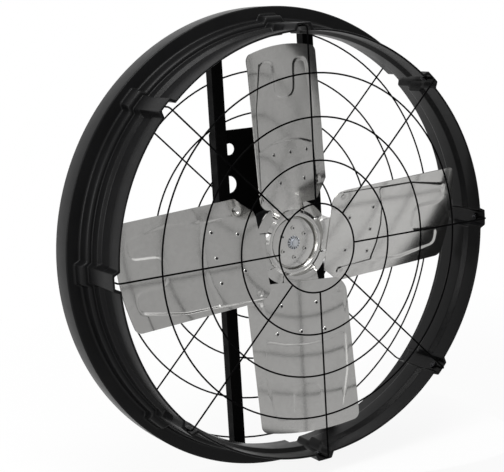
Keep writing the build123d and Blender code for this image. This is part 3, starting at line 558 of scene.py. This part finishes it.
def root_line(u):
    """Where the blade ends beside the hub."""
    bend_from, bend_to = root_bend_u
    if u < bend_to:
        t = clamp((bend_to - u) / root_corner_span) ** root_corner_power
        return lerp(root_bend_v, root_corner_v, t)
    if u < bend_from:
        return lerp(root_v, root_bend_v, smooth(bend_from, bend_to, u))
    if u < root_arc_u:
        return root_v
    across = (u - root_arc_u) / root_arc_span
    return root_v + root_arc_rise * (1 - sqrt(max(1 - across**2, 0)))


# A strip along the front edge stands forward, and the rear edge falls back behind a crease.
fold_start = 8.0
strip_u = 98.0
strip_half = 3.5
strip_rise = 2.0
strip_lean = 0.16
strip_lean_from = 320.0
strip_from = 112.0
strip_fade = (405.0, 440.0)
rear_crease_u = -97.0
rear_crease_half = 4.0
rear_crease_lean = 6.0
rear_lean_at = 226.0
rear_lean_over = 78.0
rear_crease_from = 132.0
rear_crease_fade = (228.0, 252.0)
rear_fall = 1.1

# Dimples in the corners of the root: u, v, radius and depth
dimples = ((-112.0, 140.0, 10.0, 2.4), (86.0, 122.0, 9.0, 2.4))
dimple_core = 0.15


def fold_share(v, start, fade):
    """How much of a fold there is at v, between its start and its fading end."""
    return smooth(start - fold_start, start + fold_start, v) * (1 - smooth(*fade, v))


def blade_height(points):
    """How far each point of the sheet is pressed back from its plane."""
    loop = rounded_loop([(panel_mid + u, v, r) for u, v, r in panel_corners], panel_steps)
    deep = distances_inside(points, loop)
    heights = []
    for (u, v), inside in zip(points, deep):
        height = panel_depth * smooth(*panel_flank, inside)
        strip = strip_u - strip_lean * max(0.0, v - strip_lean_from)
        along = fold_share(v, strip_from, strip_fade)
        height -= strip_rise * smooth(strip - strip_half, strip + strip_half, u) * along
        crease = rear_crease_u - rear_crease_lean * clamp((rear_lean_at - v) / rear_lean_over)
        along = fold_share(v, rear_crease_from, rear_crease_fade)
        height += rear_fall * (1 - smooth(crease - rear_crease_half, crease + rear_crease_half, u)) * along
        for at_u, at_v, radius, depth in dimples:
            height += depth * (1 - smooth(dimple_core * radius, radius, hypot(u - at_u, v - at_v)))
        heights.append(height)
    return heights


blade_columns = 150
blade_rows = 170
edge_crowding = 0.72


def blade_sheet(name, angle):
    """A blade whose columns crowd towards its two edges."""
    flat = []
    for j in range(blade_rows):
        for i in range(blade_columns):
            w = i / (blade_columns - 1)
            share = w - edge_crowding * sin(2 * pi * w) / (2 * pi)
            root = root_line(lerp(*root_ends, share))
            tip = tip_v(lerp(rear_edge[0], front_edge[0], share), share)
            v = lerp(root, tip, j / (blade_rows - 1))
            low = rear_edge[0] - edge_lean * (rear_edge[1] - v)
            high = front_edge[0] - edge_lean * (front_edge[1] - v)
            flat.append((lerp(low, high, share), v))
    heights = blade_height(flat)
    front = [(u, v, h - sheet_half) for (u, v), h in zip(flat, heights)]
    back = [(u, v, h + sheet_half) for (u, v), h in zip(flat, heights)]
    quads = grid_faces(blade_rows, blade_columns)
    return thick_sheet(name, front, back, quads, steel, "fan_wheel", 50, blade_matrix(angle))


first_blade = blade_sheet("blade_sheet_1", 0)
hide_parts("blade_1")
for number in range(2, blade_count + 1):
    copy = bpy.data.objects.new(f"blade_sheet_{number}", first_blade.data)
    bpy.context.scene.collection.objects.link(copy)
    copy.matrix_world = blade_matrix(blade_turn * (number - 1))
    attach(copy, "fan_wheel")
    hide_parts(f"blade_{number}")


# Blade rivets: low heads with a hollow that holds the broken pin. Each row is v and its places in u.

rivet_rows = ((215.0, (46.5, -12.0, -71.0)), (148.0, (28.0, -58.0)))
rivet_profile = (
    (0.0, 0.4),
    (2.9, 0.4),
    (3.0, 0.85),
    (4.1, 0.8),
    (4.7, 0.55),
    (5.2, 0.05),
    (3.0, 0.0),
    (3.0, -6.0),
    (5.4, -6.05),
    (5.0, -7.2),
    (3.0, -8.2),
    (0.0, -8.4),
)
pin_profile = ((0.0, 0.45), (2.9, 0.45), (2.8, 0.7), (0.0, 0.7))
rivet_segments = 20
rivet_points, rivet_faces, pin_points, pin_faces = [], [], [], []
for number in range(blade_count):
    seat = blade_matrix(blade_turn * number)
    u_axis, v_axis, back_axis = seat.to_3x3().col
    axes = (-back_axis, u_axis, v_axis)
    for v, places in rivet_rows:
        for u in places:
            centre = (seat @ (Vector((u, v, -sheet_half)) * MM)) / MM
            add_lathe(rivet_points, rivet_faces, rivet_profile, rivet_segments, centre, *axes)
            add_lathe(pin_points, pin_faces, pin_profile, rivet_segments, centre, *axes)
rivets = piece("rivet_heads", rivet_points, rivet_faces, steel, "fan_wheel", 40)
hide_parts("blade_rivets")
# The broken pins are real, but their black zinc paints the shade in the heads' hollows.
piece("rivet_pins", pin_points, pin_faces, black_zinc, "fan_wheel", 40)


# Hub spider: a dished disc with a groove and a crest, a web, and four pitched arms

dish_depth = 119.0
groove_depth = 113.0
crest_depth = 127.0
web_r = 102.0
web_depth = 115.5

# Radius, depth and rounding of each corner of the section
disc_profile = (
    (7.0, dish_depth, 0.5),
    (57.8, dish_depth, 1.2),
    (58.4, groove_depth, 0.6),
    (60.2, groove_depth, 0.6),
    (63.5, crest_depth, 2.4),
    (71.0, crest_depth, 3.5),
    (79.0, 120.6, 3.0),
    (web_r, web_depth, 1.0),
)
flat_rows_r = (22.0, 40.0)
disc_steps = 4
web_rows = 5
web_row_from = 0.15
web_row_step = 0.17
spider_thick = 3.8
rim_slack = 0.01
wall_from, wall_to = 77.0, 81.0

# Distance along the arm, and its lower and upper side there
arm_side = ((78.0, -30.9, 47.5), (215.0, -66.2, 72.8))
arm_end = (230.0, -53.0, 59.5)
arm_gap = 1.06
least_arm = 0.3
soft_fold = 5.0
sharp_fold = 0.8

# The slit runs beside the arm's lower side.
slit_from = 67.0
slit_span = (-3.0, -0.4)


def disc_rows():
    """(radius, depth) along the disc's section, its corners rounded."""
    rows = [disc_profile[0][:2]]
    rows += [(r, dish_depth) for r in flat_rows_r]
    for k in range(1, len(disc_profile) - 1):
        before, here, after = disc_profile[k - 1 : k + 2]
        rows += rounded_corner(before[:2], here[:2], after[:2], here[2], disc_steps)
    fold, rim = disc_profile[-2], disc_profile[-1]
    for k in range(1, web_rows + 1):
        t = web_row_from + web_row_step * k
        rows.append((lerp(fold[0], rim[0], t), lerp(fold[1], rim[1], t)))
    return sorted(rows, key=lambda row: row[0])


def from_arm(angle):
    """The angle from the middle of the nearest arm."""
    half_sector = pi / blade_count
    return (angle + half_sector) % (2 * half_sector) - half_sector


def arm_reach(angle):
    """How far the sheet goes at an angle from the arm's middle."""
    stations = (*arm_side, arm_end)
    corners = [(x, low) for x, low, high in stations]
    corners += [(x, high) for x, low, high in reversed(stations)]
    across, along = sin(angle), cos(angle)
    best = web_r
    for (ax, az), (bx, bz) in zip(corners, corners[1:]):
        side_a = az * along - ax * across
        side_b = bz * along - bx * across
        if side_a * side_b < 0:
            t = side_a / (side_a - side_b)
            best = max(best, hypot(lerp(ax, bx, t), lerp(az, bz, t)))
    return best


def arm_depth(z):
    """Depth of the arm's front face, which lies just behind the blade's back."""
    u = (z - blade_offset - arm_gap * sin(blade_pitch)) / cos(blade_pitch)
    return blade_depth + u * sin(blade_pitch) - arm_gap * cos(blade_pitch)


def spider_depth(r, depth, angle):
    """The disc's depth, or the arm's where one starts."""
    x, z = r * cos(angle), r * sin(angle)
    t = clamp((x - arm_side[0][0]) / (arm_side[1][0] - arm_side[0][0]))
    low = lerp(arm_side[0][1], arm_side[1][1], t)
    high = lerp(arm_side[0][2], arm_side[1][2], t)
    share = smooth(wall_from, wall_to, r)
    if r <= web_r + rim_slack:
        share *= (1 - smooth(high, high + soft_fold, z)) * smooth(low - sharp_fold, low, z)
    return lerp(depth, arm_depth(z), share)


spider_columns = 720
arm_rows = 14
profile_rows = disc_rows()
inner_count = len(profile_rows)
row_count = inner_count + arm_rows
front, back, reaches = [], [], []
for k in range(spider_columns):
    angle = 2 * pi * k / spider_columns
    angle_on_arm = from_arm(angle)
    reaches.append(arm_reach(angle_on_arm))
    for j in range(row_count):
        if j < inner_count:
            r, depth = profile_rows[j]
        else:
            r = lerp(web_r, reaches[k], (j - inner_count + 1) / arm_rows)
            depth = web_depth
        y = -spider_depth(r, depth, angle_on_arm)
        front.append((r * cos(angle), y, r * sin(angle)))
        back.append((r * cos(angle), y + spider_thick, r * sin(angle)))
quads = []
for k in range(spider_columns):
    after = (k + 1) % spider_columns
    angle_on_arm = from_arm(2 * pi * (k + 0.5) / spider_columns)
    for j in range(row_count - 1):
        if j < inner_count - 1:
            r = 0.5 * (profile_rows[j][0] + profile_rows[j + 1][0])
            x, z = r * cos(angle_on_arm), r * sin(angle_on_arm)
            if x > slit_from and slit_span[0] < z - arm_side[0][1] < slit_span[1]:
                continue
        elif min(reaches[k], reaches[after]) < web_r + least_arm:
            continue
        here, beside = k * row_count + j, after * row_count + j
        quads.append((here, here + 1, beside + 1, beside))
spider = thick_sheet("spider_pressing", front, back, quads, steel, "fan_wheel", 40)
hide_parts("hub_spider")


# Toothed washer, and painted shade in the sockets of the hub screws

washer_profile_r = (5.2, 8.0, 9.6, 10.2, 15.2, 16.0)
washer_teeth = 14
columns_per_tooth = 12
washer_columns = washer_teeth * columns_per_tooth
gap_half_share = 0.22
gap_from_r = 9.8
washer_back = dish_depth + 0.05
washer_floor = dish_depth + 0.3
washer_face = dish_depth + 3.0
front, back = [], []
for k in range(washer_columns):
    angle = 2 * pi * k / washer_columns
    in_gap = abs((k / columns_per_tooth) % 1 - 0.5) < gap_half_share
    for r in washer_profile_r:
        depth = washer_floor if in_gap and r > gap_from_r else washer_face
        front.append((r * cos(angle), -depth, r * sin(angle)))
        back.append((r * cos(angle), -washer_back, r * sin(angle)))
washer_quads = grid_faces(washer_columns, len(washer_profile_r), close_rows=True)
washer_quads = [tuple(reversed(quad)) for quad in washer_quads]
toothed = thick_sheet("toothed_washer", front, back, washer_quads, zinc, "fan_wheel", 30)

# The floors of the gaps take the dark zinc: painted shade between the teeth.
toothed.data.materials.append(black_zinc)
for face in toothed.data.polygons:
    depth = -face.center[1] / MM
    if abs(depth - washer_floor) < 0.05:
        face.material_index = 1
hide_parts("shaft_end_washer")

# Each screw head gets a flat dark hexagon, a painted shade standing for its socket.
screw_count = 6
screw_circle_r = 35.0
first_screw = 30
screw_face = dish_depth + 2.0
socket_sides = 6
socket_profile = ((0.0, 0.2), (2.3, 0.2), (2.45, -0.4))
screw_axes = (Vector((0, -1, 0)), Vector((1, 0, 0)), Vector((0, 0, 1)))
socket_points, socket_faces = [], []
for k in range(screw_count):
    angle = radians(first_screw + 360 / screw_count * k)
    centre = Vector((screw_circle_r * cos(angle), -screw_face, screw_circle_r * sin(angle)))
    add_lathe(socket_points, socket_faces, socket_profile, socket_sides, centre, *screw_axes)
piece("screw_socket_shade", socket_points, socket_faces, black_zinc, "fan_wheel", 40)

# The hub screws are coated like the sheet.
nodes["hub_screws"].data.materials.clear()
nodes["hub_screws"].data.materials.append(steel)


# Stage and light: a white room with a pale floor, and a grey card in front and to the right
# that the steel mirrors

# Lengths here are in metres, and a level is a strength of light.
floor_z = cad_low[2]
floor_reach = 9.0
floor_fade = (0.7, 1.9)
floor_white = (0.9, 1.0)
room_level = 0.55
card_radius = 0.86
card_from = radians(-35)
card_to = radians(125)
card_foot = (0.36, 0.6)
card_foot_turn = (radians(20), radians(60))
card_bend = -0.25
card_top = 0.8
card_low_level = 0.54
card_high_level = 0.46
card_grade_top = 0.1
card_glow_right = 0.22
card_right = (0.2, 0.55)
card_columns = 40


def seen_directly(tree):
    """1 for the rays that show the background: the camera's, and those in gloss and glass."""
    rays = tree.nodes.new("ShaderNodeLightPath")
    seen = rays.outputs["Is Camera Ray"]
    for kind in ("Is Glossy Ray", "Is Transmission Ray"):
        either = tree.nodes.new("ShaderNodeMath")
        either.operation = "MAXIMUM"
        tree.links.new(seen, either.inputs[0])
        tree.links.new(rays.outputs[kind], either.inputs[1])
        seen = either.outputs[0]
    return seen


world = bpy.data.worlds.new("world")
bpy.context.scene.world = world
world.use_nodes = True
world_tree = world.node_tree
world_tree.nodes.clear()
world_levels = world_tree.nodes.new("ShaderNodeMapRange")
world_levels.inputs["To Min"].default_value = room_level
world_levels.inputs["To Max"].default_value = 1.0
world_tree.links.new(seen_directly(world_tree), world_levels.inputs["Value"])
room = world_tree.nodes.new("ShaderNodeBackground")
room.inputs["Color"].default_value = white
world_tree.links.new(world_levels.outputs["Result"], room.inputs["Strength"])
world_out = world_tree.nodes.new("ShaderNodeOutputWorld")
world_tree.links.new(room.outputs[0], world_out.inputs["Surface"])


def stage_object(name, points, faces, material):
    mesh = bpy.data.meshes.new(name)
    mesh.from_pydata(points, [], faces)
    mesh.materials.append(material)
    obj = bpy.data.objects.new(name, mesh)
    bpy.context.scene.collection.objects.link(obj)
    return obj


def white_glow(shader):
    """A white glow of strength 1."""
    node = shader.add("ShaderNodeEmission")
    node.inputs["Color"].default_value = white
    node.inputs["Strength"].default_value = 1.0
    return node


def floor_material():
    """Pale, and mostly white where it is seen directly, with the object's shadow kept."""
    s = Shader("pale_floor", Roughness=0.9, Specular_IOR_Level=0.1)
    s.colour(s.ramp(s.noise(3, 3), clouded(0.86, 0.9)))
    glow = white_glow(s)
    far = s.add("ShaderNodeVectorMath", operation="LENGTH")
    s.link(s.place, far.inputs[0])
    share = s.add("ShaderNodeMath", operation="MULTIPLY")
    s.link(seen_directly(s.tree), share.inputs[0])
    s.link(s.spread(far.outputs["Value"], *floor_white, *floor_fade), share.inputs[1])
    mixed = s.add("ShaderNodeMixShader")
    s.link(share.outputs[0], mixed.inputs["Fac"])
    s.link(s.bsdf.outputs[0], mixed.inputs[1])
    s.link(glow.outputs[0], mixed.inputs[2])
    s.surface(mixed.outputs[0])
    return s.mat


def card_material():
    """A soft grey glow, a little darker to the top and lighter low on the right."""
    s = Shader("grey_card", Roughness=1.0)
    split = s.add("ShaderNodeSeparateXYZ")
    s.link(s.place, split.inputs[0])
    level_up = s.spread(split.outputs["Z"], card_low_level, card_high_level, floor_z, card_grade_top)
    right = s.spread(split.outputs["X"], 0.0, card_glow_right, *card_right)
    low = s.spread(split.outputs["Z"], 1.0, 0.0, card_bend, card_grade_top)
    extra = s.add("ShaderNodeMath", operation="MULTIPLY_ADD")
    s.link(right, extra.inputs[0])
    s.link(low, extra.inputs[1])
    s.link(level_up, extra.inputs[2])
    glow = white_glow(s)
    s.link(extra.outputs[0], glow.inputs["Strength"])
    s.surface(glow.outputs[0])
    return s.mat


floor_corners = ((-1, -1), (1, -1), (1, 1), (-1, 1))
floor_points = [(x * floor_reach, y * floor_reach, floor_z) for x, y in floor_corners]
stage_object("floor", floor_points, [(0, 1, 2, 3)], floor_material())

card_heights = (floor_z, card_bend, card_top)
card_points = []
for height in card_heights:
    for k in range(card_columns):
        turn_to = lerp(card_from, card_to, k / (card_columns - 1))
        foot = lerp(*card_foot, smooth(*card_foot_turn, turn_to))
        radius = foot if height == floor_z else card_radius
        card_points.append((radius * sin(turn_to), -radius * cos(turn_to), height))
card = stage_object("grey_card", card_points, grid_faces(len(card_heights), card_columns), card_material())
card.visible_camera = False


def lamp(name, place, target, width, height, power):
    """A rectangular area light that faces its target. Lengths are in metres, power in watts."""
    data = bpy.data.lights.new(name, "AREA")
    data.shape = "RECTANGLE"
    data.size = width
    data.size_y = height
    data.energy = power
    obj = bpy.data.objects.new(name, data)
    bpy.context.scene.collection.objects.link(obj)
    obj.location = place
    obj.rotation_mode = "QUATERNION"
    obj.rotation_quaternion = (Vector(place) - Vector(target)).to_track_quat("Z", "Y")


lamp("top", (-0.6, -1.1, 2.8), target=(0, 0, 0), width=2.2, height=1.3, power=75)
lamp("front_top", (-0.5, -1.6, 1.75), target=(0, -0.12, 0), width=0.6, height=0.4, power=9)
lamp("left", (-3.2, -0.9, 0.9), target=(0, 0, 0), width=1.6, height=1.6, power=55)

scene = bpy.context.scene
scene.view_settings.view_transform = "Standard"
